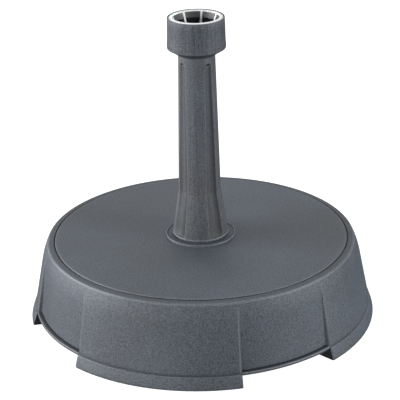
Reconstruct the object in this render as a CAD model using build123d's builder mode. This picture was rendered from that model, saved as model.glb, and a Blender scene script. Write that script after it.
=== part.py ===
from build123d import *

import os
from math import cos, degrees, hypot, radians, sin

# Parasol base: a round plastic drum filled with concrete, a fluted pole tube that is clamped
# through its middle, and a screw collar on the tube that closes a collet round the pole.
# Millimetres, +Z up. The origin is the middle of the drum on the ground, and -Y is the middle
# of one of the four raised panels. Every profile below is drawn as (radius, height).

# ---- drum ----
PANELS = 4                      # raised panels, with a recess and a hand hold between each two
PANEL_ARC = 56.7                # degrees that a panel takes
PITCH_ARC = 360 / PANELS
PANEL_START = -90 - PANEL_ARC / 2
RECESS_MIDDLE = -90 + PITCH_ARC / 2
SEAM_Z = 20.0                   # parting plane between the cover and the pan
TOP_Z = 117.0                   # flat top of the drum
SKIN = 3.0                      # wall of the plastic mouldings
STEP_R = 209.4                  # the top steps down here into a groove
GROOVE_R, GROOVE_FLAT = 210.4, 1.0      # middle and width of the groove's floor
GROOVE_Z, STEP_ROUND = 114.6, 0.6
RIM_R, RIM_Z = 211.8, 116.1     # inner end of the band outside the groove, which falls a little
BAND_R, BAND_Z = 218.8, 115.4
EDGE_R, EDGE_Z = 220.8, 113.9   # where the rounded edge runs into the skirt
KNEE_Z = 87.5                   # the skirt is curved above this height and straight below it
PANEL_KNEE_R, PANEL_SEAM_R = 229.6, 243.0
RECESS_KNEE_R, RECESS_SEAM_R = 227.6, 235.7
CORE_R = 200.0                  # inner radius of the panel blocks before the shell is hollowed

# ---- pan, feet and ballast ----
FOOT_ROUND = 1.2                # rounding of the feet's upright corners
LIP_R, LIP_T = 242.0, 4.0       # the lip that shows under each recess
FOOT_TOP_R, FOOT_R = 241.0, 249.7
FOOT_LEDGE_R, FOOT_LEDGE_Z = 244.0, 18.4
FOOT_IN_R = 222.0
FOOT_Z = 1.0                    # underside of the feet: the rubber pads stand out below it
POCKET_Z = 6.0
PAD_R_IN, PAD_R_OUT, PAD_SET, PAD_ARC = 230.0, 242.0, 2.0, 46.0
CAST_GAP = 0.5                  # shrinkage of the concrete
SCREW_R, SCREW_SPREAD = 226.0, 9.0
BOSS_R, BOSS_TOP, PILOT_R = 5.5, 48.0, 2.05
SHANK_R, SCREW_LENGTH = 2.0, 22.0

# ---- tube ----
BORE_R = 19.5                   # takes poles of up to 38 mm
SPIGOT_R, SPIGOT_Z = 24.0, 5.0
SPIGOT_CLEAR = 0.3
RING_R, RING_T = 49.5, 3.0      # rosette under the tube's foot, with a raised rim
RING_RIM_W, RING_FLOOR_T = 1.1, 2.0
RING_Z = TOP_Z + RING_FLOOR_T
TOE_R, TOE_Z = 37.6, 121.4
HEEL_R, HEEL_Z = 40.1, 123.6    # widest part of the tube's foot
WAIST_R, WAIST_Z = 30.1, 188.0  # the flare ends here
NECK_R, NECK_Z = 25.65, 385.0
HEAD_Z = 409.0                  # top of the tube, inside the collar
LEDGE_R, LEDGE_Z, LEDGE_T = 16.5, 20.0, 4.0
STOP_R, STOP_T, STOP_PLAY = 18.8, 4.0, 0.1
BORE_Z = LEDGE_Z + LEDGE_T + STOP_T
BELL_WALL = 6.5                 # wall of the flare round the hollow inside it
FLUTES, FLUTE_FROM_RECESS = 4, 7.8
FLUTE_TOP_Z = 373.5
MOUTH_Z = 406.4

# ---- collar and collet ----
COLLAR_Z, COLLAR_RIM_Z = 388.4, 440.1
COLLAR_TOP_R, COLLAR_SIDE_R, COLLAR_HEM_R = 39.4, 40.4, 40.7
HEM_Z, HEM_TOP_Z, HEM_ROUND = 396.8, 403.5, 0.8
COLLAR_END_R = 27.4             # outer radius of the cone's lower end
THREAD_CLEAR = 0.3
SLEEVE_T, SLEEVE_TOP_Z = 3.0, 414.0
COLLET_TOP_Z, COLLET_SEAT_Z = 440.5, 438.2
COLLET_R, COLLET_IN_R = 37.9, 32.4
RUN = 0.3                       # clearance between the collar and the collet
FINGERS, FINGER_W, FINGER_T = 8, 2.9, 2.4
FINGER_PHASE = 2.2              # degrees from +Y to the nearest finger
FINGER_END_Z, FINGER_END_R = 407.0, 20.2
KEY_Z, KEY_PLAY = 395.0, 0.45
GRIP_H, GRIP_T, GRIP_SET = 7.8, 1.8, 0.4

NUT_R, NUT_T, WASHER_R, WASHER_T = 38.0, 7.5, 42.0, 1.5


def radial(angle):
    """The upright plane through the axis at an angle from +X, drawn as (radius, height)."""
    a = radians(angle)
    return Plane(origin=(0, 0, 0), x_dir=(cos(a), sin(a), 0), z_dir=(sin(a), -cos(a), 0))


def between(start, end, z):
    """Radius at height z on the straight line between two (radius, height) points."""
    return start[0] + (end[0] - start[0]) * (z - start[1]) / (end[1] - start[1])


def skirt(knee_r, seam_r, inset, foot_z):
    """The skirt's line from its top edge down to foot_z, moved in by the inset."""
    edge = (EDGE_R - inset, EDGE_Z - inset)
    knee = (knee_r - inset, KNEE_Z)
    seam = (between((knee_r, KNEE_Z), (seam_r, SEAM_Z), foot_z) - inset, foot_z)
    Line(seam, knee)
    TangentArc(knee, edge, tangent=(knee[0] - seam[0], knee[1] - seam[1]))
    return edge, seam


def drum_profile(inset, foot_z):
    """Half section of the drum with the recessed skirt, closed on the axis."""
    band = (BAND_R - inset, BAND_Z - inset)
    rim = (RIM_R, RIM_Z - inset)
    step = [(STEP_R, TOP_Z - inset)]
    if inset == 0:
        step = [(GROOVE_R + GROOVE_FLAT / 2, GROOVE_Z), (GROOVE_R - GROOVE_FLAT / 2, GROOVE_Z),
                (STEP_R, TOP_Z - STEP_ROUND), (STEP_R - STEP_ROUND, TOP_Z)]
    with BuildLine() as outline:
        edge, seam = skirt(RECESS_KNEE_R, RECESS_SEAM_R, inset, foot_z)
        TangentArc(band, edge, tangent=(band[0] - rim[0], band[1] - rim[1]))
        Polyline(band, rim, *step, (0, TOP_Z - inset), (0, foot_z), seam)
    make_face(outline.edges())


def panel_profile(inset, foot_z):
    """Section of one raised panel."""
    with BuildLine() as outline:
        edge, seam = skirt(PANEL_KNEE_R, PANEL_SEAM_R, inset, foot_z)
        Polyline(edge, (CORE_R, edge[1]), (CORE_R, foot_z), seam)
    make_face(outline.edges())


def add_panels(inset, foot_z, mode):
    """The panels' blocks; their end walls move in with their faces."""
    trim = degrees(inset / PANEL_SEAM_R)
    for k in range(PANELS):
        with BuildSketch(radial(PANEL_START + k * PITCH_ARC + trim)) as section:
            panel_profile(inset, foot_z)
        revolve(section.sketch, axis=Axis.Z, revolution_arc=PANEL_ARC - 2 * trim, mode=mode)


def add_sectors(points, arc, mode):
    """A section swept through an arc about the middle of each panel."""
    for k in range(PANELS):
        with BuildSketch(radial(-90 - arc / 2 + k * PITCH_ARC)) as section:
            with BuildLine():
                Polyline(*points, close=True)
            make_face()
        revolve(section.sketch, axis=Axis.Z, revolution_arc=arc, mode=mode)


def turned(*points, mode=Mode.ADD):
    """A solid turned from a closed section."""
    with BuildSketch(radial(0)) as section:
        with BuildLine():
            Polyline(*points, close=True)
        make_face()
    revolve(section.sketch, axis=Axis.Z, mode=mode)


def drilled(radius, low_z, high_z):
    """A round hole on the axis."""
    with BuildSketch(Plane.XY.offset(low_z)) as section:
        Circle(radius)
    extrude(section.sketch, amount=high_z - low_z, mode=Mode.SUBTRACT)


def screw_places():
    """Two screws under each recess."""
    for k in range(PANELS):
        for side in (-1, 1):
            a = radians(RECESS_MIDDLE + k * PITCH_ARC + side * SCREW_SPREAD)
            yield SCREW_R * cos(a), SCREW_R * sin(a)


SCREW_PLACES = list(screw_places())


def pins(radius, low_z, high_z, mode=Mode.ADD):
    """Upright round pins on the screws' places."""
    with BuildSketch(Plane.XY.offset(low_z)) as section:
        with Locations(*SCREW_PLACES):
            Circle(radius)
    extrude(section.sketch, amount=high_z - low_z, mode=mode)


# ---- cover shell ----
with BuildPart() as cover_shell:
    with BuildSketch(radial(0)):
        drum_profile(0, SEAM_Z)
    revolve(axis=Axis.Z)
    add_panels(0, SEAM_Z, Mode.ADD)
    with BuildSketch(radial(0)):
        drum_profile(SKIN, SEAM_Z)
    revolve(axis=Axis.Z, mode=Mode.SUBTRACT)
    add_panels(SKIN, SEAM_Z, Mode.SUBTRACT)
    pins(BOSS_R, SEAM_Z, BOSS_TOP)
    pins(PILOT_R, SEAM_Z, BOSS_TOP - SKIN, mode=Mode.SUBTRACT)
    drilled(SPIGOT_R + SPIGOT_CLEAR, TOP_Z - 2 * SKIN, TOP_Z + 1)
cover_shell.part.label = "cover_shell"

# ---- bottom pan: a plate whose rim is the lip, and four hollow feet under the panels ----
PLATE_Z = SEAM_Z - LIP_T


def foot_corner(edge):
    """True for the long upright corners at the outer ends of the feet."""
    middle = edge.center()
    return edge.length > (SEAM_Z - FOOT_Z) / 2 and middle.Z < PLATE_Z and hypot(middle.X, middle.Y) > LIP_R


with BuildPart() as bottom_pan:
    turned((0, PLATE_Z), (LIP_R - 0.8, PLATE_Z), (LIP_R, PLATE_Z + 0.8), (LIP_R, SEAM_Z - 0.6),
           (LIP_R - 0.6, SEAM_Z), (0, SEAM_Z))
    add_sectors(
        [(FOOT_IN_R, FOOT_Z), (FOOT_R - 0.8, FOOT_Z), (FOOT_R, FOOT_Z + 1.2),
         (FOOT_LEDGE_R + 0.3, FOOT_LEDGE_Z - 0.8), (FOOT_LEDGE_R - 0.3, FOOT_LEDGE_Z),
         (FOOT_TOP_R, SEAM_Z - 0.4), (FOOT_TOP_R - 1, SEAM_Z), (FOOT_IN_R, SEAM_Z)],
        PANEL_ARC, Mode.ADD)
    fillet(bottom_pan.edges().filter_by(GeomType.LINE).filter_by(foot_corner), radius=FOOT_ROUND)
    add_sectors(
        [(FOOT_IN_R + SKIN, POCKET_Z), (FOOT_R - SKIN - 2, POCKET_Z),
         (FOOT_TOP_R - SKIN - 2, SEAM_Z + 1), (FOOT_IN_R + SKIN, SEAM_Z + 1)],
        PANEL_ARC - 2, Mode.SUBTRACT)
    add_sectors(
        [(PAD_R_IN, 0), (PAD_R_OUT, 0), (PAD_R_OUT, FOOT_Z + PAD_SET), (PAD_R_IN, FOOT_Z + PAD_SET)],
        PAD_ARC, Mode.SUBTRACT)
    pins(SHANK_R + 0.3, PLATE_Z - 1, SEAM_Z + 1, mode=Mode.SUBTRACT)
    drilled(SPIGOT_R + SPIGOT_CLEAR, PLATE_Z - 1, SEAM_Z + 1)
bottom_pan.part.label = "bottom_pan"

# ---- rubber pads set into the feet ----
with BuildPart() as foot_pads:
    add_sectors(
        [(PAD_R_IN + 0.1, 0), (PAD_R_OUT - 0.1, 0), (PAD_R_OUT - 0.1, FOOT_Z + PAD_SET),
         (PAD_R_IN + 0.1, FOOT_Z + PAD_SET)],
        PAD_ARC - 0.1, Mode.ADD)
foot_pads.part.label = "foot_pads"

# ---- concrete: fills the cover, and reaches down into the feet ----
CAST_SKIN = SKIN + CAST_GAP
with BuildPart() as ballast_block:
    with BuildSketch(radial(0)):
        drum_profile(CAST_SKIN, SEAM_Z)
    revolve(axis=Axis.Z)
    add_panels(CAST_SKIN, SEAM_Z, Mode.ADD)
    add_sectors(
        [(FOOT_IN_R + CAST_SKIN, POCKET_Z + CAST_GAP), (FOOT_R - CAST_SKIN - 2.5, POCKET_Z + CAST_GAP),
         (FOOT_TOP_R - CAST_SKIN - 2.5, SEAM_Z + 1), (FOOT_IN_R + CAST_SKIN, SEAM_Z + 1)],
        PANEL_ARC - 3, Mode.ADD)
    pins(BOSS_R + CAST_GAP, SEAM_Z - 1, BOSS_TOP + CAST_GAP, mode=Mode.SUBTRACT)
    drilled(SPIGOT_R + SPIGOT_CLEAR, SEAM_Z - 1, TOP_Z)
ballast_block.part.label = "ballast_block"

# ---- screws that hold the pan to the cover ----
with BuildPart() as pan_screws:
    pins(SHANK_R, PLATE_Z - 0.5, PLATE_Z + SCREW_LENGTH)
    pins(SHANK_R * 2, PLATE_Z - 2.6, PLATE_Z)
    with BuildSketch(Plane.XY.offset(PLATE_Z - 2.6)):
        with Locations(*SCREW_PLACES):
            Rectangle(4.2, 0.8)
            Rectangle(0.8, 4.2)
    extrude(amount=1.3, mode=Mode.SUBTRACT)
pan_screws.part.label = "pan_screws"

# ---- rosette between the drum's top and the tube's foot ----
RIM_OUT_ROUND, RIM_IN_ROUND = 0.6, 0.3
with BuildPart() as tube_rosette:
    with BuildSketch(Plane.XY.offset(TOP_Z)):
        Circle(RING_R)
        Circle(SPIGOT_R + SPIGOT_CLEAR, mode=Mode.SUBTRACT)
    extrude(amount=RING_T)
    with BuildSketch(Plane.XY.offset(RING_Z)):
        Circle(RING_R - RING_RIM_W)
    extrude(amount=RING_T, mode=Mode.SUBTRACT)
    rim = tube_rosette.edges().filter_by(GeomType.CIRCLE).group_by(Axis.Z)[-1]
    fillet(rim.sort_by(SortBy.RADIUS)[-1], radius=RIM_OUT_ROUND)
    rim = tube_rosette.edges().filter_by(GeomType.CIRCLE).group_by(Axis.Z)[-1]
    fillet(rim.sort_by(SortBy.RADIUS)[0], radius=RIM_IN_ROUND)
tube_rosette.part.label = "tube_rosette"


# ---- one flute: a hollow that widens downwards, with a ball end on top ----
def flute_circle(height, surface_r, half_width, depth):
    """Height, centre radius and radius of the round cutter that leaves a flute of this size."""
    sag = surface_r - (surface_r**2 - half_width**2) ** 0.5
    cut = depth - sag
    cutter_r = (half_width**2 + cut**2) / (2 * cut)
    return height, surface_r + cutter_r - depth, cutter_r


FLUTE_SECTIONS = [
    flute_circle(HEEL_Z + 0.9, HEEL_R, 12.6, 2.9),
    flute_circle(WAIST_Z, WAIST_R, 9.4, 4.4),
    flute_circle(FLUTE_TOP_Z, between((WAIST_R, WAIST_Z), (NECK_R, NECK_Z), FLUTE_TOP_Z), 5.4, 2.8),
]
with BuildPart() as flute_tool:
    for height, centre, cutter_r in FLUTE_SECTIONS:
        with BuildSketch(Plane.XY.offset(height)):
            with Locations((centre, 0)):
                Circle(cutter_r)
    loft(ruled=True)
with BuildPart() as flute_end:
    with Locations((FLUTE_SECTIONS[-1][1], 0, FLUTE_TOP_Z)):
        Sphere(FLUTE_SECTIONS[-1][2] * 1.002)      # a little larger, so that it cuts through the loft's end

# ---- pole tube ----
FINGER_START = 90 + FINGER_PHASE
FINGER_STEP = 360 / FINGERS
FINGER_TOP = (COLLET_IN_R, COLLET_SEAT_Z)
FINGER_END = (FINGER_END_R, FINGER_END_Z)


def finger_back(z):
    """Radius of the fingers' outer faces at height z."""
    return between(FINGER_TOP, FINGER_END, z) + FINGER_T


with BuildPart() as pole_tube:
    turned((LEDGE_R, SPIGOT_Z), (SPIGOT_R - 1, SPIGOT_Z), (SPIGOT_R, SPIGOT_Z + 1), (SPIGOT_R, RING_Z),
           (TOE_R, RING_Z), (TOE_R, TOE_Z - 0.6), (HEEL_R - 0.6, TOE_Z), (HEEL_R, TOE_Z + 0.6),
           (HEEL_R, HEEL_Z - 0.5), (HEEL_R - 0.4, HEEL_Z + 0.3), (WAIST_R, WAIST_Z), (NECK_R, NECK_Z),
           (NECK_R, HEAD_Z - 0.8), (NECK_R - 0.8, HEAD_Z), (LEDGE_R, HEAD_Z))
    turned((0, LEDGE_Z + LEDGE_T), (STOP_R + STOP_PLAY, LEDGE_Z + LEDGE_T), (STOP_R + STOP_PLAY, BORE_Z),
           (BORE_R, BORE_Z), (BORE_R, HEAD_Z + 1), (0, HEAD_Z + 1), mode=Mode.SUBTRACT)
    turned((0, SPIGOT_Z - 1), (BORE_R, SPIGOT_Z - 1), (BORE_R, LEDGE_Z), (0, LEDGE_Z), mode=Mode.SUBTRACT)
    turned((SPIGOT_R, RING_Z - 1), (HEEL_R - BELL_WALL, RING_Z - 1), (WAIST_R - BELL_WALL, WAIST_Z - 2),
           mode=Mode.SUBTRACT)
    turned((0, MOUTH_Z), (finger_back(MOUTH_Z) + RUN, MOUTH_Z), (finger_back(HEAD_Z + 1) + RUN, HEAD_Z + 1),
           (0, HEAD_Z + 1), mode=Mode.SUBTRACT)
    with PolarLocations(0, FLUTES, start_angle=RECESS_MIDDLE + FLUTE_FROM_RECESS):
        add(flute_tool.part, mode=Mode.SUBTRACT)
        add(flute_end.part, mode=Mode.SUBTRACT)
    with BuildSketch(Plane.XY.offset(KEY_Z - 1)):
        with PolarLocations((BORE_R + NECK_R) / 2, FINGERS // 2, start_angle=FINGER_START):
            Rectangle(NECK_R - BORE_R + 4, FINGER_W + 2 * KEY_PLAY)
    extrude(amount=HEAD_Z - KEY_Z + 2, mode=Mode.SUBTRACT)
pole_tube.part.label = "pole_tube"

# ---- pole stop: a drained disc on the ledge inside the tube ----
with BuildPart() as pole_stop:
    with BuildSketch(Plane.XY.offset(LEDGE_Z + LEDGE_T)):
        Circle(STOP_R)
        with PolarLocations(9.5, 4):
            Circle(3.5, mode=Mode.SUBTRACT)
        Circle(4, mode=Mode.SUBTRACT)
    extrude(amount=STOP_T)
pole_stop.part.label = "pole_stop"

# ---- washer and nut that pull the tube down from below ----
with BuildPart() as lock_washer:
    with BuildSketch(Plane.XY.offset(PLATE_Z - WASHER_T)):
        Circle(WASHER_R)
        Circle(SPIGOT_R + 0.2, mode=Mode.SUBTRACT)
    extrude(amount=WASHER_T)
lock_washer.part.label = "lock_washer"

NUT_Z = PLATE_Z - WASHER_T - NUT_T
with BuildPart() as lock_nut:
    with BuildSketch(Plane.XY.offset(NUT_Z)):
        RegularPolygon(NUT_R, 6)
        Circle(SPIGOT_R + 0.05, mode=Mode.SUBTRACT)
    extrude(amount=NUT_T)
    fillet(lock_nut.edges().filter_by(Axis.Z), radius=3)
lock_nut.part.label = "lock_nut"

# ---- clamp collar: an outer skin, a conical floor and a threaded sleeve, open at the top ----
SLEEVE_IN_R = NECK_R + THREAD_CLEAR
SLEEVE_OUT_R = SLEEVE_IN_R + SLEEVE_T
SKIN_IN_R = COLLAR_TOP_R - SKIN
BEAD_Z, BEAD_H = 434.0, 1.2
BEAD_R = SKIN_IN_R + 0.4
with BuildPart() as clamp_collar:
    with BuildSketch(radial(0)):
        with BuildLine():
            Polyline((SLEEVE_IN_R + 1, COLLAR_Z), (SLEEVE_IN_R, COLLAR_Z + 1), (SLEEVE_IN_R, SLEEVE_TOP_Z),
                     (SLEEVE_OUT_R, SLEEVE_TOP_Z), (SLEEVE_OUT_R, COLLAR_Z + 6.5), (COLLAR_HEM_R - 4.9, HEM_Z + 2.5),
                     (COLLAR_HEM_R - 3.6, HEM_Z + 4), (SKIN_IN_R, BEAD_Z - 0.5),
                     (BEAD_R + RUN, BEAD_Z - 0.5), (BEAD_R + RUN, BEAD_Z + BEAD_H + RUN),
                     (SKIN_IN_R, BEAD_Z + BEAD_H + RUN), (SKIN_IN_R, COLLET_SEAT_Z - RUN),
                     (COLLET_R + RUN, COLLET_SEAT_Z - RUN), (COLLET_R + RUN, COLLAR_RIM_Z),
                     (COLLAR_TOP_R - 0.4, COLLAR_RIM_Z), (COLLAR_TOP_R, COLLAR_RIM_Z - 0.5),
                     (COLLAR_SIDE_R, HEM_TOP_Z + 0.4), (COLLAR_HEM_R, HEM_TOP_Z),
                     (COLLAR_HEM_R, HEM_Z + HEM_ROUND), (COLLAR_HEM_R - HEM_ROUND, HEM_Z),
                     (COLLAR_END_R, COLLAR_Z), close=True)
        make_face()
    revolve(axis=Axis.Z)
clamp_collar.part.label = "clamp_collar"

# ---- collet: a ring with a snap skirt and eight fingers, four of them keyed into the tube ----
with BuildPart() as collet:
    turned((COLLET_IN_R, COLLET_SEAT_Z), (COLLET_IN_R, COLLET_TOP_Z - 0.6), (COLLET_IN_R + 0.6, COLLET_TOP_Z),
           (COLLET_R - 0.7, COLLET_TOP_Z), (COLLET_R, COLLET_TOP_Z - 0.6), (COLLET_R, COLLET_SEAT_Z),
           (SKIN_IN_R - RUN, COLLET_SEAT_Z), (SKIN_IN_R - RUN, BEAD_Z + BEAD_H), (BEAD_R, BEAD_Z + BEAD_H - 0.3),
           (BEAD_R, BEAD_Z + 0.3), (SKIN_IN_R - RUN, BEAD_Z), (COLLET_IN_R + FINGER_T, BEAD_Z),
           (COLLET_IN_R + FINGER_T, COLLET_SEAT_Z))
    for k in range(FINGERS):
        with BuildSketch(radial(FINGER_START + k * FINGER_STEP)):
            with BuildLine():
                Polyline(FINGER_END, (FINGER_END[0] + FINGER_T, FINGER_END[1]),
                         (FINGER_TOP[0] + FINGER_T, FINGER_TOP[1]), (FINGER_TOP[0] + FINGER_T, FINGER_TOP[1] + 1),
                         (FINGER_TOP[0], FINGER_TOP[1] + 1), FINGER_TOP, close=True)
            make_face()
        extrude(amount=FINGER_W / 2, both=True)
    with BuildSketch(Plane.XY.offset(KEY_Z)):
        with PolarLocations(FINGER_END_R + FINGER_T / 2, FINGERS // 2, start_angle=FINGER_START):
            Rectangle(FINGER_T, FINGER_W)
    extrude(amount=FINGER_END_Z - KEY_Z + 1)
collet.part.label = "collet"

# ---- grip pads: eight soft segments between the fingers, under the ring ----
GRIP_ARC = FINGER_STEP - degrees((FINGER_W + 0.1) / (COLLET_IN_R - GRIP_H / 2))
with BuildPart() as grip_pads:
    grip_top = COLLET_IN_R + GRIP_SET
    grip_foot = between(FINGER_TOP, FINGER_END, COLLET_SEAT_Z - GRIP_H) + GRIP_SET
    for k in range(FINGERS):
        with BuildSketch(radial(FINGER_START + (k + 0.5) * FINGER_STEP - GRIP_ARC / 2)):
            with BuildLine():
                Polyline((grip_top, COLLET_SEAT_Z), (grip_foot, COLLET_SEAT_Z - GRIP_H),
                         (grip_foot + GRIP_T, COLLET_SEAT_Z - GRIP_H), (grip_top + GRIP_T, COLLET_SEAT_Z), close=True)
            make_face()
        revolve(axis=Axis.Z, revolution_arc=GRIP_ARC)
grip_pads.part.label = "grip_pads"

os.makedirs("parts", exist_ok=True)
for name, piece in {
    "cover_shell": cover_shell, "bottom_pan": bottom_pan, "foot_pads": foot_pads,
    "ballast_block": ballast_block, "pan_screws": pan_screws, "tube_rosette": tube_rosette,
    "pole_tube": pole_tube, "pole_stop": pole_stop, "lock_washer": lock_washer, "lock_nut": lock_nut,
    "clamp_collar": clamp_collar, "collet": collet, "grip_pads": grip_pads,
}.items():
    export_step(piece.part, f"parts/{name}.step")
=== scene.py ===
"""Looks of the parasol base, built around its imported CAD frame. Metres, +Z up, -Y is the front."""

import math

import bmesh
import bpy
from mathutils import Matrix, Vector


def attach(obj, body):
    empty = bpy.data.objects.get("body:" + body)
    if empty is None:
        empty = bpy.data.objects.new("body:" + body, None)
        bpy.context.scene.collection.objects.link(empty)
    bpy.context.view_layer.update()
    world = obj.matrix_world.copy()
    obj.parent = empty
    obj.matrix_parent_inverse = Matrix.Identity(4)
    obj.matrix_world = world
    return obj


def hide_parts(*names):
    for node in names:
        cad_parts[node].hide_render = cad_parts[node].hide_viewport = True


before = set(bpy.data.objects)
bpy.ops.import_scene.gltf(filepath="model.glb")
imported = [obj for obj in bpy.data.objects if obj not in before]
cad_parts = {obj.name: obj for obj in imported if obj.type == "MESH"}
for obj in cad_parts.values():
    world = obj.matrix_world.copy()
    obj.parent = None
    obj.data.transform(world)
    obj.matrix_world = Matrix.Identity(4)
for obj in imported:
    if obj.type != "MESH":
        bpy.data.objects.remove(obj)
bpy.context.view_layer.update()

# ---- camera: fitted to the outlines of the drum and the tube ----
CAMERA_AZIMUTH = math.radians(16.3)     # from -Y towards +X
CAMERA_DISTANCE = 1.9324                # along the ground from the tube's axis
CAMERA_HEIGHT = 0.9957
CAMERA_PITCH = math.radians(23.16)
CAMERA_ROLL = math.radians(-1.31)
FOCAL_IN_FRAMES = 3.675                 # focal length over the frame's width
SENSOR = 36.0


def make_camera():
    forward = Vector((-math.sin(CAMERA_AZIMUTH) * math.cos(CAMERA_PITCH),
                      math.cos(CAMERA_AZIMUTH) * math.cos(CAMERA_PITCH),
                      -math.sin(CAMERA_PITCH)))
    level = Vector((math.cos(CAMERA_AZIMUTH), math.sin(CAMERA_AZIMUTH), 0))
    upright = level.cross(forward)
    right = level * math.cos(CAMERA_ROLL) + upright * math.sin(CAMERA_ROLL)
    up = upright * math.cos(CAMERA_ROLL) - level * math.sin(CAMERA_ROLL)
    data = bpy.data.cameras.new("camera")
    data.sensor_width = SENSOR
    data.lens = FOCAL_IN_FRAMES * SENSOR
    data.clip_end = 50
    camera = bpy.data.objects.new("camera", data)
    bpy.context.scene.collection.objects.link(camera)
    turn = Matrix((right, up, -forward)).transposed().to_4x4()
    place = Vector((CAMERA_DISTANCE * math.sin(CAMERA_AZIMUTH),
                    -CAMERA_DISTANCE * math.cos(CAMERA_AZIMUTH), CAMERA_HEIGHT))
    camera.matrix_world = Matrix.Translation(place) @ turn
    bpy.context.scene.camera = camera


make_camera()


# ---- materials ----
class Nodes:
    """A short way to write a material's nodes."""

    def __init__(self, name):
        self.material = bpy.data.materials.new(name)
        self.material.use_nodes = True
        self.tree = self.material.node_tree
        self.shader = self.tree.nodes["Principled BSDF"]

    def add(self, kind, values=(), **settings):
        node = self.tree.nodes.new(kind)
        for key, value in settings.items():
            setattr(node, key, value)
        for key, value in dict(values).items():
            if isinstance(value, bpy.types.NodeSocket):
                self.tree.links.new(value, node.inputs[key])
            else:
                node.inputs[key].default_value = value
        return node

    def place(self, scale=(1, 1, 1)):
        """Object coordinates, stretched by a scale."""
        coordinates = self.add("ShaderNodeTexCoord").outputs["Object"]
        return self.add("ShaderNodeMapping", {"Vector": coordinates, "Scale": scale}).outputs["Vector"]

    def noise(self, vector, scale, detail=2.0, roughness=0.5):
        values = {"Vector": vector, "Scale": scale, "Detail": detail, "Roughness": roughness}
        return self.add("ShaderNodeTexNoise", values).outputs["Fac"]

    def spread(self, value, low, high):
        """A 0 to 1 value remapped to low .. high."""
        values = {"Value": value, "From Min": 0.3, "From Max": 0.7, "To Min": low, "To Max": high}
        return self.add("ShaderNodeMapRange", values).outputs["Result"]

    def plus(self, a, b):
        return self.add("ShaderNodeMath", {0: a, 1: b}, operation="ADD").outputs[0]

    def times(self, a, b):
        return self.add("ShaderNodeMath", {0: a, 1: b}, operation="MULTIPLY").outputs[0]

    def minus(self, a, b):
        return self.add("ShaderNodeMath", {0: a, 1: b}, operation="SUBTRACT").outputs[0]

    def above_zero(self, value):
        return self.add("ShaderNodeMath", {0: value, 1: 0.0}, operation="MAXIMUM").outputs[0]

    def mix(self, factor, a, b):
        node = self.add("ShaderNodeMix", {"Factor": factor}, data_type="RGBA")
        for socket, value in ((node.inputs[6], a), (node.inputs[7], b)):
            if isinstance(value, bpy.types.NodeSocket):
                self.tree.links.new(value, socket)
            else:
                socket.default_value = (*value, 1)
        return node.outputs[2]

    def bump(self, height, distance):
        values = {"Height": height, "Distance": distance, "Strength": 1.0}
        normal = self.add("ShaderNodeBump", values).outputs["Normal"]
        self.tree.links.new(normal, self.shader.inputs["Normal"])

    def link(self, name, value):
        self.tree.links.new(value, self.shader.inputs[name])

    def fixed(self, **values):
        for name, value in values.items():
            self.shader.inputs[name.replace("_", " ")].default_value = value


# colours of a painted highlight and of painted shade, mixed in by a point attribute
PAINTED_HIGHLIGHT_COLOUR = (0.21, 0.22, 0.24)
PAINTED_SHADE_COLOUR = (0.008, 0.009, 0.010)
PLASTIC_IOR = 1.49
CLOUDS = 7.0                            # noise scales, per metre
STREAKS = 240.0
COARSE_GRAIN = 0.42                     # the coarse grain's scale over the fine grain's


def moulded_plastic(name, dark, light, grain, grain_depth, roughness,
                    streaks=0.0, speckle=0.5, gloss=0.5):
    """Moulded plastic: a spark-eroded grain, cloudy colour and flow streaks along the axis.

    The point attribute read below paints a highlight above 0, lighter and smoother, and paints shade below 0,
    darker.
    """
    n = Nodes(name)
    place = n.place()
    cloud = n.noise(place, CLOUDS, 3.0)
    coarse = n.noise(place, grain * COARSE_GRAIN)
    fine = n.noise(place, grain, 2.0, 0.6)
    speck = n.plus(n.times(coarse, 0.75), n.times(fine, 0.25))
    shade = n.plus(n.times(cloud, 0.15), n.times(speck, 0.85))
    if streaks:
        along = n.noise(n.place((1, 1, 0.02)), STREAKS, 3.0, 0.6)
        shade = n.plus(n.times(shade, 1 - streaks), n.times(along, streaks))
    tint = n.mix(n.spread(cloud, 0, 1), dark, light)
    grained = n.mix(n.spread(shade, -0.4, 1.4), [1 - speckle] * 3, [1 + speckle] * 3)
    multiply = n.add("ShaderNodeMix", {0: 1.0, 6: tint, 7: grained}, data_type="RGBA",
                     blend_type="MULTIPLY", clamp_result=False)
    # point attribute: a painted highlight above 0, painted shade below 0
    light_and_shade = n.add("ShaderNodeAttribute", attribute_name="painted_light").outputs["Fac"]
    painted_light = n.above_zero(light_and_shade)
    painted_shade = n.above_zero(n.times(light_and_shade, -1.0))
    uneven = n.plus(n.times(coarse, 0.5), n.times(cloud, 0.5))
    highlighted = n.mix(n.times(painted_light, n.spread(uneven, 0.5, 1.0)), multiply.outputs[2], PAINTED_HIGHLIGHT_COLOUR)
    n.link("Base Color", n.mix(painted_shade, highlighted, PAINTED_SHADE_COLOUR))
    matte = n.spread(n.plus(n.times(speck, 0.5), n.times(cloud, 0.5)), roughness - 0.07, roughness + 0.07)
    n.link("Roughness", n.minus(matte, n.times(painted_light, 0.2)))
    n.bump(speck, grain_depth)
    n.fixed(IOR=PLASTIC_IOR, Specular_IOR_Level=gloss)
    return n.material


def white_plastic():
    n = Nodes("white_nylon")
    cloud = n.noise(n.place(), 60.0)
    n.link("Base Color", n.mix(n.spread(cloud, 0, 1), (0.84, 0.84, 0.83), (0.92, 0.92, 0.91)))
    n.link("Roughness", n.spread(cloud, 0.34, 0.46))
    n.bump(n.noise(n.place(), 900.0), 0.00002)
    n.fixed(Subsurface_Weight=0.1)
    return n.material


def soft_rubber(name, dark, light):
    n = Nodes(name)
    speck = n.noise(n.place(), 1400.0)
    n.link("Base Color", n.mix(n.spread(speck, 0, 1), dark, light))
    n.link("Roughness", n.spread(speck, 0.42, 0.56))
    n.bump(speck, 0.00004)
    return n.material


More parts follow.
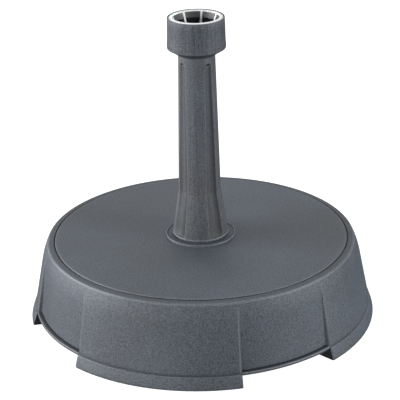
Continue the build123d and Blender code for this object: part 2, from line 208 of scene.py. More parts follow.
def cast_concrete():
    n = Nodes("concrete")
    stones = n.add("ShaderNodeTexVoronoi", {"Vector": n.place(), "Scale": 120.0}).outputs["Distance"]
    sand = n.noise(n.place(), 700.0, 4.0)
    n.link("Base Color", n.mix(n.spread(n.plus(n.times(stones, 0.5), n.times(sand, 0.5)), 0, 1),
                               (0.22, 0.21, 0.20), (0.42, 0.41, 0.38)))
    n.fixed(Roughness=0.9)
    n.bump(sand, 0.0004)
    return n.material


def zinc():
    n = Nodes("zinc_steel")
    spangle = n.noise(n.place(), 300.0, 3.0)
    n.link("Base Color", n.mix(n.spread(spangle, 0, 1), (0.5, 0.5, 0.5), (0.68, 0.68, 0.66)))
    n.link("Roughness", n.spread(spangle, 0.28, 0.42))
    n.fixed(Metallic=1.0)
    return n.material


DRUM = moulded_plastic("drum_plastic", (0.052, 0.059, 0.069), (0.053, 0.065, 0.081), 1300.0, 0.0003, 0.6,
                       speckle=0.52)
TUBE = moulded_plastic("tube_plastic", (0.066, 0.069, 0.077), (0.065, 0.075, 0.088), 1500.0, 0.00018,
                       0.64, streaks=0.2, gloss=0.36)
COLLAR = moulded_plastic("collar_plastic", (0.052, 0.056, 0.064), (0.055, 0.066, 0.080), 1500.0, 0.00018,
                         0.64, streaks=0.25, speckle=0.68, gloss=0.36)
BLACK = moulded_plastic("black_plastic", (0.012, 0.012, 0.013), (0.022, 0.022, 0.024), 1500.0, 0.00006, 0.55)
WHITE = white_plastic()
GRIP = soft_rubber("grip_rubber", (0.05, 0.051, 0.054), (0.085, 0.087, 0.091))
FOOT_RUBBER = soft_rubber("foot_rubber", (0.014, 0.014, 0.014), (0.026, 0.026, 0.026))
CONCRETE = cast_concrete()
ZINC = zinc()

FINISHES = {
    "cover_shell": DRUM, "bottom_pan": DRUM, "tube_rosette": DRUM, "pole_tube": TUBE,
    "pole_stop": BLACK, "lock_nut": BLACK, "lock_washer": ZINC, "pan_screws": ZINC,
    "foot_pads": FOOT_RUBBER, "ballast_block": CONCRETE, "clamp_collar": COLLAR,
    "collet": WHITE, "grip_pads": GRIP,
}
for node, material in FINISHES.items():
    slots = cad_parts[node].data.materials
    slots.clear()
    slots.append(material)


# ---- the drum's cover: one closed mesh with rounded panel edges, in millimetres ----
MM = 0.001
PANELS = 4
PITCH = math.tau / PANELS
PANEL_HALF = math.radians(56.7 / 2)
FIRST_PANEL = math.radians(-90)
SEAM_Z, KNEE_Z, TOP_Z = 20.0, 87.5, 117.0
GROOVE_Z, RIM_Z = 114.6, 116.1
SKIN = 3.0
HOLE_R = 24.3
EDGE = (220.8, 113.9)               # the rounded edge ends here and the skirt starts
BAND = (218.8, 115.4)
PANEL_KNEE_R, PANEL_SEAM_R = 229.6, 243.0
RECESS_KNEE_R, RECESS_SEAM_R = 227.6, 235.7
CORNER_ROUND, VALLEY_ROUND = 3.6, 1.4
WALL_DRAFT = 0.5                    # how far a panel's end wall leans, in mm
SHARP_ANGLE = math.radians(32)      # an edge that turns more than this isn't shaded smooth


def skirt_radius(knee_r, seam_r, z):
    """The skirt's radius: a straight line below the knee, and above it an arc that ends at the edge."""
    slope = (knee_r - seam_r) / (KNEE_Z - SEAM_Z)
    if z <= KNEE_Z:
        return knee_r + (z - KNEE_Z) * slope
    length = math.hypot(slope, 1)
    normal = (-1 / length, slope / length)
    chord = (EDGE[0] - knee_r, EDGE[1] - KNEE_Z)
    radius = (chord[0] ** 2 + chord[1] ** 2) / (2 * (chord[0] * normal[0] + chord[1] * normal[1]))
    middle = (knee_r + normal[0] * radius, KNEE_Z + normal[1] * radius)
    return middle[0] + math.sqrt(radius ** 2 - (z - middle[1]) ** 2)


def bend(start, corner, end, steps):
    """Points of a curve from start to end that leaves and arrives along the lines to the corner."""
    points = []
    for k in range(steps + 1):
        t = k / steps
        points.append(tuple(start[i] * (1 - t) ** 2 + corner[i] * 2 * t * (1 - t) + end[i] * t * t
                            for i in (0, 1)))
    return points


def point(radius, angle, height):
    """A place in metres, from millimetres and an angle round the axis."""
    return radius * math.cos(angle) * MM, radius * math.sin(angle) * MM, height * MM


def drum_row(quarter):
    """Points once round the drum, from (radius, height, angle) over half a panel and half a recess."""
    mirrored = [(r, z, PITCH - a) for r, z, a in reversed(quarter[1:-1])]
    return [point(r, FIRST_PANEL + k * PITCH + a, z) for k in range(PANELS) for r, z, a in quarter + mirrored]


def drum_values(quarter):
    """Values for drum_row's points, from those of half a panel and half a recess."""
    return (quarter + quarter[-2:0:-1]) * PANELS


def cover_stations():
    """(recess radius, panel radius, height, inset) round the wall's section, from the hole out and back."""
    step = bend((208.6, TOP_Z), (209.4, TOP_Z), (209.5, TOP_Z - 0.9), 4)
    groove = bend((209.8, GROOVE_Z + 0.4), (209.9, GROOVE_Z), (210.4, GROOVE_Z), 3)
    groove += bend((210.6, GROOVE_Z), (211.0, GROOVE_Z), (211.3, GROOVE_Z + 0.7), 3)
    rim = bend((211.5, RIM_Z - 0.4), (211.7, RIM_Z), (212.3, RIM_Z - 0.03), 3)
    edge = bend((BAND[0] - 1.2, BAND[1] + 0.1), (220.2, BAND[1] - 0.1), EDGE, 7)[:-1]
    flat = [(HOLE_R, TOP_Z), (50, TOP_Z), (110, TOP_Z), (170, TOP_Z), (204, TOP_Z)]
    outside = [(r, r, z, 0) for r, z in flat + step + groove + rim + edge]
    heights = [EDGE[1] - k * (EDGE[1] - KNEE_Z) / 12 for k in range(13)] + [75, 62, 48, 35, 24, SEAM_Z + 1.2]
    for z in heights:
        outside.append((skirt_radius(RECESS_KNEE_R, RECESS_SEAM_R, z),
                        skirt_radius(PANEL_KNEE_R, PANEL_SEAM_R, z), z, 0))
    for inset, z in ((0.2, SEAM_Z + 0.75), (1.0, SEAM_Z + 0.6), (1.2, SEAM_Z)):
        outside.append((skirt_radius(RECESS_KNEE_R, RECESS_SEAM_R, z) - inset,
                        skirt_radius(PANEL_KNEE_R, PANEL_SEAM_R, z) - inset, z, 0))
    inside = []
    for z in (SEAM_Z, 40, 65, KNEE_Z, 97, 106):
        inside.append((skirt_radius(RECESS_KNEE_R, RECESS_SEAM_R, z) - SKIN,
                       skirt_radius(PANEL_KNEE_R, PANEL_SEAM_R, z) - SKIN, z, SKIN))
    inside += [(r, r, TOP_Z - SKIN, 0) for r in (213, 203, 110, HOLE_R)]
    return outside + inside


def cover_columns():
    """The places round a quarter: flat panel, rounded corner, end wall, valley, flat recess."""
    columns = [("panel", k / 24) for k in range(24)]
    columns += [("corner", k / 6) for k in range(7)]
    columns += [("wall", 0.34), ("wall", 0.67)]
    columns += [("valley", k / 4) for k in range(5)]
    columns += [("recess", k / 14) for k in range(1, 15)]
    return columns


def cover_point(station, column):
    """Radius, and angle from the panel's middle."""
    recess_r, panel_r, _, inset = station
    kind, t = column
    depth = panel_r - recess_r
    half = PANEL_HALF - inset / panel_r
    corner = min(CORNER_ROUND, 0.55 * depth)
    valley = min(VALLEY_ROUND, 0.3 * depth)
    if kind == "panel":
        return panel_r, t * (half - CORNER_ROUND / panel_r)
    if kind == "corner":
        turn = t * math.pi / 2
        return panel_r - corner * (1 - math.cos(turn)), half - CORNER_ROUND * (1 - math.sin(turn)) / panel_r
    if kind == "wall":
        return (panel_r - corner + t * (recess_r + valley - panel_r + corner),
                half + t * WALL_DRAFT / panel_r)
    if kind == "valley":
        turn = t * math.pi / 2
        return (recess_r + valley * (1 - math.sin(turn)),
                half + (WALL_DRAFT + VALLEY_ROUND * (1 - math.cos(turn))) / panel_r)
    start = half + (WALL_DRAFT + VALLEY_ROUND) / panel_r
    return recess_r, start + t * (PITCH / 2 - start)


def crisp(piece):
    """Smooth shading that keeps sharp edges."""
    piece.data.shade_smooth()
    piece.data.set_sharp_from_angle(angle=SHARP_ANGLE)


def paint_light(piece, values):
    """Writes the painted light at each of the mesh's points: up to 1 for a painted highlight, down to -1 for
    painted shade.
    """
    attribute = piece.data.attributes.new("painted_light", "FLOAT", "POINT")
    attribute.data.foreach_set("value", values)


def ring_mesh(name, rows):
    """A closed mesh from rows that each run once round the axis; the last row joins the first."""
    count = len(rows[0])
    points = [place for row in rows for place in row]
    faces = []
    for i in range(len(rows)):
        a, b = i * count, (i + 1) % len(rows) * count
        for k in range(count):
            m = (k + 1) % count
            faces.append((a + k, b + k, b + m, a + m))
    mesh = bpy.data.meshes.new(name)
    mesh.from_pydata(points, [], faces)
    shape = bmesh.new()
    shape.from_mesh(mesh)
    bmesh.ops.recalc_face_normals(shape, faces=shape.faces)
    shape.to_mesh(mesh)
    shape.free()
    piece = bpy.data.objects.new(name, mesh)
    bpy.context.scene.collection.objects.link(piece)
    crisp(piece)
    return piece


def bell(value, middle, width):
    """1 at the middle, falling to 0 a width away."""
    return max(0.0, 1 - abs(value - middle) / width)


GROOVE_SHADE, BAND_SHADE = 0.75, 0.24   # painted shade in the groove, and between it and the rounded edge
# painted highlights on the step, the rounded edge and the panels' corners
STEP_HIGHLIGHT, EDGE_HIGHLIGHT, CORNER_HIGHLIGHT = 0.5, 0.42, 0.34
STEP_R, GROOVE_R, BAND_R = 209.2, 209.45, 211.5


def rim_light(r, z):
    """Painted light across the cover's rim: a highlight on its step and rounded edge, shade in its groove and
    band.
    """
    if r > BAND[0] - 0.8:
        return EDGE_HIGHLIGHT * bell(z, EDGE[1] + 0.2, 1.6)
    if r > BAND_R:
        return -BAND_SHADE
    if r > GROOVE_R and z < TOP_Z - 0.8:
        return -GROOVE_SHADE
    return STEP_HIGHLIGHT * bell(r, STEP_R, 0.7)


def cover_light(columns):
    """The painted light of the cover's points, with painted highlights on the panels' corners."""
    values = []
    for recess_r, panel_r, z, inset in cover_stations():
        across = rim_light(recess_r, z) if inset == 0 and z > EDGE[1] - 3 else 0.0
        row = []
        for kind, t in columns:
            stands_out = min(1, (panel_r - recess_r) / 3)
            along = bell(t, 0.5, 0.45) * CORNER_HIGHLIGHT * stands_out if kind == "corner" else 0.0
            row.append(max(across, along) if along else across)
        values += drum_values(row)
    return values


def make_cover():
    columns = cover_columns()
    rows = []
    for station in cover_stations():
        places = [cover_point(station, column) for column in columns]
        rows.append(drum_row([(r, station[2], a) for r, a in places]))
    piece = ring_mesh("cover_moulding", rows)
    paint_light(piece, cover_light(columns))
    piece.data.materials.append(DRUM)
    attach(piece, "base")
    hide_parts("cover_shell")


make_cover()


# ---- the pole tube: crisp flutes and a rounded foot, in millimetres ----
FLUTES = 4
FLUTE_PITCH = math.tau / FLUTES
FIRST_FLUTE = math.radians(-90 + 45 + 7.8)
NECK = (25.65, 385.0)
WAIST = (30.1, 188.0)
HEEL = (40.1, 123.6)
FLUTE_TOP_Z = 373.5
HEAD_Z = 409.0
FLUTE_MIN_HALF = math.radians(9)
EDGE_SOFTNESS = 0.22                # rounding of the flutes' edges, in mm
EDGE_SPAN = 0.6                     # columns of the mesh crowd this close to the flutes' edges, in mm
FLUTE_COLUMNS, LAND_COLUMNS = 9, 7  # columns over half a flute, and over half the land between two
KEYS, KEY_R, KEY_Z, KEY_WIDTH = 4, 22.6, 394.0, 3.8
KEY_HALF_DEPTH, KEY_HALF_HEIGHT = 5, 10
FIRST_KEY = 92.2                    # in degrees


def mixed(a, b, t):
    return a + (b - a) * t


def tube_radius(z):
    """The tube's outside without its flutes."""
    if z < WAIST[1]:
        return mixed(HEEL[0] - 0.4, WAIST[0], (z - HEEL[1]) / (WAIST[1] - HEEL[1]))
    return mixed(WAIST[0], NECK[0], min(1, (z - WAIST[1]) / (NECK[1] - WAIST[1])))


def flute_cutter(surface_r, half_width, depth):
    """Place and radius of the round cutter that leaves a flute of this width and depth."""
    cut = depth - surface_r + math.sqrt(surface_r ** 2 - half_width ** 2)
    radius = (half_width ** 2 + cut ** 2) / (2 * cut)
    return surface_r + radius - depth, radius


# (height, half width, depth)
FLUTE_SIZES = [(HEEL[1], 12.6, 2.7), (WAIST[1], 9.4, 4.4), (FLUTE_TOP_Z, 5.4, 2.8)]


def flute_at(z):
    """Centre and radius of the cutter at a height; above the flute's top it closes as a ball."""
    low, middle, top = FLUTE_SIZES
    a, b = (low, middle) if z < middle[0] else (middle, top)
    t = min(1, max(0, (z - a[0]) / (b[0] - a[0])))
    height = min(z, FLUTE_TOP_Z)
    centre, radius = flute_cutter(tube_radius(height), mixed(a[1], b[1], t), mixed(a[2], b[2], t))
    over = max(0, z - FLUTE_TOP_Z)
    return centre, math.sqrt(max(0, radius ** 2 - over ** 2))


def flute_half(surface_r, centre, radius):
    """Half the angle that the flute takes of the tube."""
    cosine = (surface_r ** 2 + centre ** 2 - radius ** 2) / (2 * surface_r * centre)
    return math.acos(cosine) if cosine < 1 else 0


def fluted_radius(surface_r, centre, radius, angle):
    """Radius at an angle from the flute's middle, with a softened edge."""
    inside = radius ** 2 - (centre * math.sin(angle)) ** 2
    if inside <= 0:
        return surface_r
    cut = centre * math.cos(angle) - math.sqrt(inside)
    gap = (cut - surface_r) / EDGE_SOFTNESS
    if gap > 12:
        return surface_r
    return surface_r - EDGE_SOFTNESS * math.log(1 + math.exp(-gap))


FLUTE_RUN_OUT = 6.0                 # the flutes run out to nothing over this height above the foot
# a painted highlight on the heel's rounded edge
HEEL_HIGHLIGHT, HEEL_HIGHLIGHT_R, HEEL_HIGHLIGHT_Z = 0.6, 39.8, 122.6
FLARE_SHADE = 0.36                  # painted shade at the foot, falling to nothing at the waist
FLUTE_SHADE = 0.30, 0.52            # painted shade all over a flute, and more added towards its right side
LEFT_HIGHLIGHT, RIGHT_HIGHLIGHT = 0.34, 0.08    # painted highlights on a flute's two edges
CAP_SHADE, CAP_OVER = 0.9, 2.4      # painted shade at a flute's closed end, from this height above its straight part
CAP_HIGHLIGHT, HIGHLIGHT_OVER = 0.3, 0.9        # and a painted highlight just below that
SHALLOW = 0.4                       # a flute less deep than this has no tint


def heel_light(r, z):
    """A painted highlight on the rounded heel."""
    return HEEL_HIGHLIGHT * bell(z, HEEL_HIGHLIGHT_Z, 1.2) * (r > HEEL_HIGHLIGHT_R)


def tube_light(depth, z, angle, half, softer):
    """Painted light round the tube: painted shade in the flutes and down the flare, painted highlights on the
    flutes' edges and just below the shade at their closed ends.
    """
    flare = -FLARE_SHADE * max(0, 1 - (z - HEEL[1]) / (WAIST[1] - HEEL[1]))
    near = softer * 1.2
    if abs(angle) > half - near:
        return flare + bell(abs(angle), half, near) * (LEFT_HIGHLIGHT if angle < 0 else RIGHT_HIGHLIGHT)
    if depth < SHALLOW:
        return flare
    over = z - FLUTE_TOP_Z
    if over > CAP_OVER:
        return -CAP_SHADE
    if over > HIGHLIGHT_OVER:
        return CAP_HIGHLIGHT
    # painted shade in the flute, deeper towards its right side
    return flare - FLUTE_SHADE[0] - FLUTE_SHADE[1] * max(0, angle / half)


def tube_row(surface_r, z, fluted):
    """Radius, angle and painted light round the tube; the columns keep to the flutes' edges."""
    centre, radius = flute_at(z)
    half = max(flute_half(tube_radius(z), centre, radius), FLUTE_MIN_HALF)
    softer = EDGE_SPAN / surface_r
    inside = [half * k / FLUTE_COLUMNS for k in range(FLUTE_COLUMNS)]
    edge = [half - softer, half - softer / 2, half, half + softer / 2]
    rest = FLUTE_PITCH / 2 - half - softer
    outside = [half + softer + rest * k / LAND_COLUMNS for k in range(LAND_COLUMNS + 1)]
    angles = inside + edge + outside
    around = [-a for a in reversed(angles[1:-1])] + angles
    row = []
    for k in range(FLUTES):
        for a in around:
            r = surface_r
            if fluted:
                run = min(1, (z - HEEL[1]) / FLUTE_RUN_OUT)
                r = mixed(surface_r, fluted_radius(surface_r, centre, radius, a), math.sqrt(run))
            tint_here = tube_light(surface_r - r, z, a, half, softer) if fluted else heel_light(r, z)
            row.append((r, FIRST_FLUTE + k * FLUTE_PITCH + a, tint_here))
    return row


def tube_section():
    """(radius, height, fluted) round the wall's section."""
    low = HEEL[1]
    foot = [(37.6, 119.0), (37.6, 120.9), (38.5, 121.4), (39.5, 121.4), (40.0, 121.7), (40.1, 122.2)]
    heel = [(40.1, low - 0.9), (40.05, low - 0.5), (39.85, low - 0.2), (39.7, low)]
    section = [(r, z, False) for r, z in foot + heel]
    flare = [low + 0.5, low + 1.2] + [mixed(low + 2, WAIST[1] - 1.5, k / 14) for k in range(15)]
    shaft = [WAIST[1] - 0.5, WAIST[1] + 0.5] + [mixed(WAIST[1] + 2, FLUTE_TOP_Z, k / 22) for k in range(23)]
    closing = [FLUTE_TOP_Z + 0.5 * k for k in range(1, 16)]
    section += [(tube_radius(z), z, True) for z in flare + shaft + closing]
    section += [(NECK[0], z, False) for z in (NECK[1], KEY_Z, HEAD_Z - 0.8)]
    head = [(NECK[0] - 0.3, HEAD_Z - 0.2), (NECK[0] - 0.8, HEAD_Z), (23.7, HEAD_Z), (22.6, 406.4)]
    bore = [(19.9, 406.4), (19.5, 406.0), (19.5, 360), (19.5, 200), (19.5, 28), (18.9, 28), (18.9, 24)]
    ledge = [(16.5, 24), (16.5, 20), (19.5, 20), (19.5, 5), (23, 5), (24, 6), (24, 118), (23.6, 186),
             (33.6, 119)]
    return section + [(r, z, False) for r, z in head + bore + ledge]


def cut_boxes(piece, boxes):
    """Cuts upright boxes, given as matrices of a 2 x 2 x 2 cube, out of a mesh."""
    shape = bmesh.new()
    for matrix in boxes:
        bmesh.ops.create_cube(shape, size=2, matrix=matrix)
    mesh = bpy.data.meshes.new("cutter")
    shape.to_mesh(mesh)
    shape.free()
    cutter = bpy.data.objects.new("cutter", mesh)
    bpy.context.scene.collection.objects.link(cutter)
    boolean = piece.modifiers.new("slots", "BOOLEAN")
    boolean.operation = "DIFFERENCE"
    boolean.solver = "EXACT"
    boolean.object = cutter
    cut = bpy.data.meshes.new_from_object(piece.evaluated_get(bpy.context.evaluated_depsgraph_get()))
    piece.modifiers.clear()
    piece.data = cut
    bpy.data.objects.remove(cutter)


def make_tube():
    rows = []
    painted_values = []
    for surface_r, z, fluted in tube_section():
        row = tube_row(surface_r, z, fluted)
        rows.append([point(r, a, z) for r, a, _ in row])
        painted_values += [value for _, _, value in row]
    piece = ring_mesh("pole_tube_moulding", rows)
    paint_light(piece, painted_values)
    slots = []
    for k in range(KEYS):
        turn = Matrix.Rotation(math.radians(FIRST_KEY + k * 360 / KEYS), 4, "Z")
        place = Matrix.Translation((KEY_R * MM, 0, (KEY_Z + KEY_HALF_HEIGHT) * MM))
        size = Matrix.Diagonal((KEY_HALF_DEPTH * MM, KEY_WIDTH / 2 * MM, KEY_HALF_HEIGHT * MM, 1))
        slots.append(turn @ place @ size)
    cut_boxes(piece, slots)
    crisp(piece)
    piece.data.materials.clear()
    piece.data.materials.append(TUBE)
    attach(piece, "base")
    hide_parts("pole_tube")


make_tube()


# ---- the rosette under the tube's foot, in millimetres ----
ROSETTE_R, ROSETTE_TOP_Z, ROSETTE_FLAT_Z = 49.5, 120.0, 118.98
ROSETTE_COLUMNS = 144
ROSETTE_HIGHLIGHT, ROSETTE_HIGHLIGHT_R = 0.7, 48.6  # a painted highlight on the ring's outer edge


def turned_rows(section, count):
    """Rows of a turned section of (radius, height) points."""
    return [[point(r, math.tau * k / count, z) for k in range(count)] for r, z in section]


def make_rosette():
    rim = bend((48.4, 119.5), (48.4, ROSETTE_TOP_Z), (48.9, ROSETTE_TOP_Z), 3)
    rim += bend((49.0, ROSETTE_TOP_Z), (ROSETTE_R, ROSETTE_TOP_Z), (ROSETTE_R, 119.5), 4)
    section = [(HOLE_R, TOP_Z)] + [(r, ROSETTE_FLAT_Z) for r in (HOLE_R, 37, 44, 47.9)]
    section += bend((48.0, ROSETTE_FLAT_Z), (48.4, 119.0), (48.4, 119.4), 2)
    section += rim + [(ROSETTE_R, TOP_Z), (36, TOP_Z)]
    piece = ring_mesh("rosette_ring", turned_rows(section, ROSETTE_COLUMNS))
    paint_light(piece, [ROSETTE_HIGHLIGHT * bell(z, ROSETTE_TOP_Z, 0.6) * (r > ROSETTE_HIGHLIGHT_R)
                for r, z in section for _ in range(ROSETTE_COLUMNS)])
    piece.data.materials.append(DRUM)
    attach(piece, "base")
    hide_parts("tube_rosette")


make_rosette()


# ---- the pan: a lip under each recess and a foot under each panel, in millimetres ----
LIP_R, LIP_Z = 242.0, 16.0
FOOT_IN_R, FOOT_R, FOOT_Z = 222.0, 249.7, 1.0
FOOT_CORNER = 1.6
FOOT_CORNER_SHAPE = [(0.0, 1.0), (0.3, 0.45), (0.7, 0.12), (1.0, 0.0)]     # (along, how far out)
DROP_FROM_R, DROP_OVER = 230, 15        # the feet's corners start to round off here, and do fully after this
FOOT_COLUMNS, LIP_COLUMNS = 20, 14      # columns over half a foot, and over half a lip
END_DRAFT, END_EDGE = 0.1, 0.02         # a foot's end wall leans this far, and its painted shade starts and ends here
# painted highlights on the feet's top and bottom edges
FOOT_TOP_HIGHLIGHT, FOOT_LOW_HIGHLIGHT = 0.15, 0.25
FOOT_END_SHADE = 0.85                   # painted shade on the feet's end walls
LIP_HIGHLIGHT, LIP_SHADE = 0.8, 0.8           # a painted highlight on the lip's edge, and painted shade on its top next to the skirt


def pan_stations():
    """(foot radius, foot height, lip radius, lip height, foot's painted highlight, lip's painted highlight
    and shade) round the wall's section.
    """
    stations = [(r, LIP_Z, r, LIP_Z, 0, 0) for r in (HOLE_R, 100, 180, FOOT_IN_R - 0.4)]
    stations += [(FOOT_IN_R, LIP_Z - 0.4, FOOT_IN_R, LIP_Z, 0, 0)]
    stations += [(FOOT_IN_R, FOOT_Z + 0.5, FOOT_IN_R + 1, LIP_Z, 0, 0)]
    stations += [(FOOT_IN_R + 0.5, FOOT_Z, 224, LIP_Z, 0, 0)]
    stations += [(236, FOOT_Z, 233, LIP_Z, 0, 0), (FOOT_R - 1.2, FOOT_Z, LIP_R - 0.9, LIP_Z, 0, 0)]
    foot = bend((FOOT_R - 0.7, FOOT_Z), (FOOT_R, FOOT_Z + 0.1), (FOOT_R - 0.1, FOOT_Z + 1.5), 4)
    foot += [(248.9, 5.2), (247.1, 10.4), (245.3, 15.4)]
    foot += bend((244.6, 17.2), (244.2, 18.6), (243.2, 18.7), 4)
    foot += [(242.2, 18.85), (241.4, 19.2)] + [(r, SEAM_Z) for r in (241.0, 240.5, 240.0, 239.0)]
    lip = bend((LIP_R - 0.7, LIP_Z), (LIP_R, LIP_Z), (LIP_R, LIP_Z + 0.7), 4)
    lip += [(LIP_R, LIP_Z + k) for k in (1.1, 1.5, 1.9)]
    lip += bend((LIP_R, 18.9), (LIP_R, SEAM_Z), (LIP_R - 0.9, SEAM_Z), 4)
    lip += [(LIP_R - inward, SEAM_Z) for inward in (1.4, 2, 3, 4, 5, 6.5)]
    for (foot_r, foot_z), (lip_r, lip_z) in zip(foot, lip):
        foot_highlight = FOOT_TOP_HIGHLIGHT * bell(foot_z, 18.3, 0.9) + FOOT_LOW_HIGHLIGHT * bell(foot_z, 1.3, 1.0)
        lip_light = LIP_HIGHLIGHT * bell(lip_z, 19.6, 0.9) * (lip_r > LIP_R - 1) - LIP_SHADE * (lip_r < LIP_R - 3.5)
        stations.append((foot_r, foot_z, lip_r, lip_z, foot_highlight, lip_light))
    stations += [(r, SEAM_Z, r, SEAM_Z, 0, 0) for r in (230, 120, HOLE_R)]
    return stations


def pan_quarter(foot_r, foot_z, lip_r, lip_z, foot_highlight, lip_light):
    """(radius, height, angle, painted light) over half a foot, its end wall and half a lip."""
    flat = FOOT_CORNER / FOOT_R
    quarter = [(foot_r, foot_z, PANEL_HALF * k / FOOT_COLUMNS - flat * k / FOOT_COLUMNS, foot_highlight)
               for k in range(FOOT_COLUMNS)]
    drop = min(1, max(0, (foot_r - DROP_FROM_R) / DROP_OVER)) * FOOT_CORNER
    for along, outward in FOOT_CORNER_SHAPE:
        radius = foot_r - drop * (1 - outward) * 0.5
        quarter.append((radius, foot_z, PANEL_HALF - FOOT_CORNER * (1 - along) / FOOT_R, foot_highlight))
    start = PANEL_HALF + END_DRAFT / LIP_R
    # painted shade on the foot's end wall
    shade = -FOOT_END_SHADE if foot_r > lip_r + 0.5 or foot_z < lip_z - 1 else 0
    quarter.append((foot_r - drop * 0.5, foot_z, PANEL_HALF + END_EDGE / FOOT_R, shade))
    quarter.append((lip_r, lip_z, start - END_EDGE / LIP_R, shade))
    return quarter + [(lip_r, lip_z, mixed(start, PITCH / 2, k / LIP_COLUMNS), lip_light)
                      for k in range(LIP_COLUMNS + 1)]


def make_pan():
    rows = []
    painted_values = []
    for station in pan_stations():
        quarter = pan_quarter(*station)
        rows.append(drum_row([(r, z, a) for r, z, a, _ in quarter]))
        painted_values += drum_values([tint for _, _, _, tint in quarter])
    piece = ring_mesh("pan_moulding", rows)
    paint_light(piece, painted_values)
    piece.data.materials.append(DRUM)
    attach(piece, "base")
    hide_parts("bottom_pan")


make_pan()


# ---- the collet: its ring falls away outwards, in millimetres ----
RING_IN_R, RING_LOW_Z, RING_FALL = 32.6, 438.6, 0.24


def make_collet():
    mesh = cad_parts["collet"].data.copy()
    mesh.name = "collet_moulding"
    for vertex in mesh.vertices:
        radius = math.hypot(vertex.co.x, vertex.co.y) / MM
        if vertex.co.z / MM > RING_LOW_Z and radius > RING_IN_R:
            vertex.co.z -= (radius - RING_IN_R) * RING_FALL * MM
    piece = bpy.data.objects.new("collet_moulding", mesh)
    bpy.context.scene.collection.objects.link(piece)
    crisp(piece)
    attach(piece, "collet")
    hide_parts("collet")


make_collet()


# ---- the clamp collar, in millimetres ----
SLEEVE_IN_R, SLEEVE_OUT_R, SLEEVE_TOP_Z = 25.95, 28.95, 414
SKIN_IN_R, THREAD_R = 36.4, 37.1
COLLAR_Z, HEM_Z, COLLAR_TOP_Z = 388.4, 396.8, 440.1
COLLAR_COLUMNS = 120
COLLAR_HIGHLIGHT = 0.5                        # painted highlight on the top's outer edge and on the hem


def collar_section():
    """(radius, height) round the wall's section."""
    section = [(SLEEVE_IN_R + 1, COLLAR_Z), (SLEEVE_IN_R, COLLAR_Z + 1), (SLEEVE_IN_R, SLEEVE_TOP_Z)]
    section += [(SLEEVE_OUT_R, SLEEVE_TOP_Z), (SLEEVE_OUT_R, 394.9), (35.8, 399.3), (THREAD_R, 400.8)]
    section += [(SKIN_IN_R, 433.5), (THREAD_R, 433.5), (THREAD_R, 435.5), (SKIN_IN_R, 435.5)]
    section += [(SKIN_IN_R, 437.9), (38.2, 437.9), (38.2, 439.9)]
    section += bend((38.4, COLLAR_TOP_Z), (39.3, COLLAR_TOP_Z), (39.42, 439.3), 4)
    section += [(39.7, 430), (40.0, 418), (40.35, 404.3), (40.5, 403.9), (40.65, 403.5), (40.7, 402)]
    section += bend((40.7, HEM_Z + 1.0), (40.7, HEM_Z + 0.1), (39.8, HEM_Z - 0.5), 5)
    return section + [(33.5, 392.5), (28.1, COLLAR_Z + 0.5), (27.3, COLLAR_Z)]


def collar_light(r, z):
    """Painted highlights on two of the collar's edges: the top's outer edge and the hem."""
    return COLLAR_HIGHLIGHT * max(bell(z, 439.9, 0.8) * (r > 38.5), bell(z, HEM_Z + 0.4, 0.8) * (r > 40))


def make_collar():
    section = collar_section()
    piece = ring_mesh("clamp_collar_moulding", turned_rows(section, COLLAR_COLUMNS))
    paint_light(piece, [collar_light(r, z) for r, z in section for _ in range(COLLAR_COLUMNS)])
    piece.data.materials.append(COLLAR)
    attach(piece, "collar")
    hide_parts("clamp_collar")


make_collar()


# ---- floor and light ----
FLOOR_HALF, FLOOR_GLOW = 12, 0.95
ROOM_LOW, ROOM_LEVEL, ROOM_TOP = 0.02, 0.78, 0.56
ROOM_STOPS = ((0.03, ROOM_LEVEL), (0.35, ROOM_LEVEL), (0.6, ROOM_TOP))      # (height of view, brightness)
ROOM_FRONT, ROOM_BACK = 0.0, 1.9        # factors on the room overhead, in front and at the back
OVERHEAD = 0.25, 0.6                    # those factors come in between these heights of view
BACKWARD = -0.6, 0.6                    # and change from the front one to the back one over this depth
LIGHTS_AIM = (0, 0, 0.1)


def make_floor():
    mesh = bpy.data.meshes.new("floor")
    corners = [(-FLOOR_HALF, -FLOOR_HALF, 0), (FLOOR_HALF, -FLOOR_HALF, 0),
               (FLOOR_HALF, FLOOR_HALF, 0), (-FLOOR_HALF, FLOOR_HALF, 0)]
    mesh.from_pydata(corners, [], [(0, 1, 2, 3)])
    floor = bpy.data.objects.new("floor", mesh)
    bpy.context.scene.collection.objects.link(floor)
    n = Nodes("floor")
    n.fixed(Base_Color=(0.35, 0.35, 0.35, 1), Roughness=0.9, Specular_IOR_Level=0.0,
            Emission_Color=(1, 1, 1, 1), Emission_Strength=FLOOR_GLOW)
    mesh.materials.append(n.material)
    floor.visible_diffuse = False
    floor.visible_glossy = False


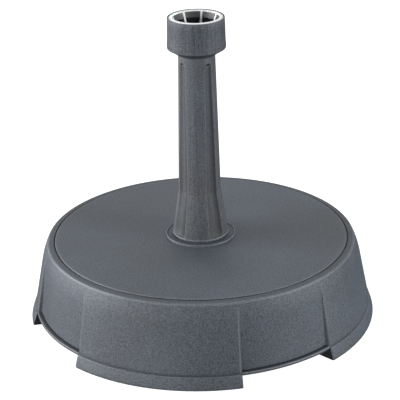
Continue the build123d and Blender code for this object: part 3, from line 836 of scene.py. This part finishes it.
def area_light(name, place, size, watts):
    data = bpy.data.lights.new(name, "AREA")
    data.shape = "RECTANGLE"
    data.size, data.size_y = size
    data.energy = watts
    light = bpy.data.objects.new(name, data)
    bpy.context.scene.collection.objects.link(light)
    aim = Vector(LIGHTS_AIM) - Vector(place)
    turn = aim.to_track_quat("-Z", "Y").to_matrix().to_4x4()
    light.matrix_world = Matrix.Translation(Vector(place)) @ turn


def ranged(tree, value, from_low, from_high, to_low=0.0, to_high=1.0):
    """A value of the world's nodes, remapped from one range to another."""
    node = tree.nodes.new("ShaderNodeMapRange")
    node.inputs["From Min"].default_value = from_low
    node.inputs["From Max"].default_value = from_high
    node.inputs["To Min"].default_value = to_low
    node.inputs["To Max"].default_value = to_high
    tree.links.new(value, node.inputs["Value"])
    return node.outputs["Result"]


def make_world():
    """A room that is bright round the object and dark below; overhead it fades from back to front."""
    world = bpy.data.worlds.new("studio")
    world.use_nodes = True
    tree = world.node_tree
    background = tree.nodes["Background"]
    direction = tree.nodes.new("ShaderNodeTexCoord").outputs["Generated"]
    height = tree.nodes.new("ShaderNodeSeparateXYZ")
    tree.links.new(direction, height.inputs[0])
    room = tree.nodes.new("ShaderNodeValToRGB")
    tree.links.new(height.outputs["Z"], room.inputs["Fac"])
    ramp = room.color_ramp
    ramp.elements[0].position = 0.0
    ramp.elements[0].color = (*[ROOM_LOW] * 3, 1)
    ramp.elements[1].position = 1.0
    ramp.elements[1].color = (*[ROOM_TOP] * 3, 1)
    for place, value in ROOM_STOPS:
        stop = ramp.elements.new(place)
        stop.color = (value, value, value, 1)
    tree.links.new(room.outputs["Color"], background.inputs["Color"])
    overhead = ranged(tree, height.outputs["Z"], *OVERHEAD)
    backward = ranged(tree, height.outputs["Y"], *BACKWARD, ROOM_FRONT, ROOM_BACK)
    strength = tree.nodes.new("ShaderNodeMix")
    strength.inputs["A"].default_value = 1.0
    tree.links.new(overhead, strength.inputs["Factor"])
    tree.links.new(backward, strength.inputs["B"])
    tree.links.new(strength.outputs["Result"], background.inputs["Strength"])
    bpy.context.scene.world = world


make_floor()
make_world()
area_light("left", (-2.1, -0.7, 0.75), (1.8, 1.3), 94)
area_light("right", (2.1, -0.3, 0.7), (0.8, 1.3), 46)
area_light("front", (-0.7, -2.4, 0.3), (0.9, 0.5), 23)
bpy.context.scene.view_settings.view_transform = "Standard"
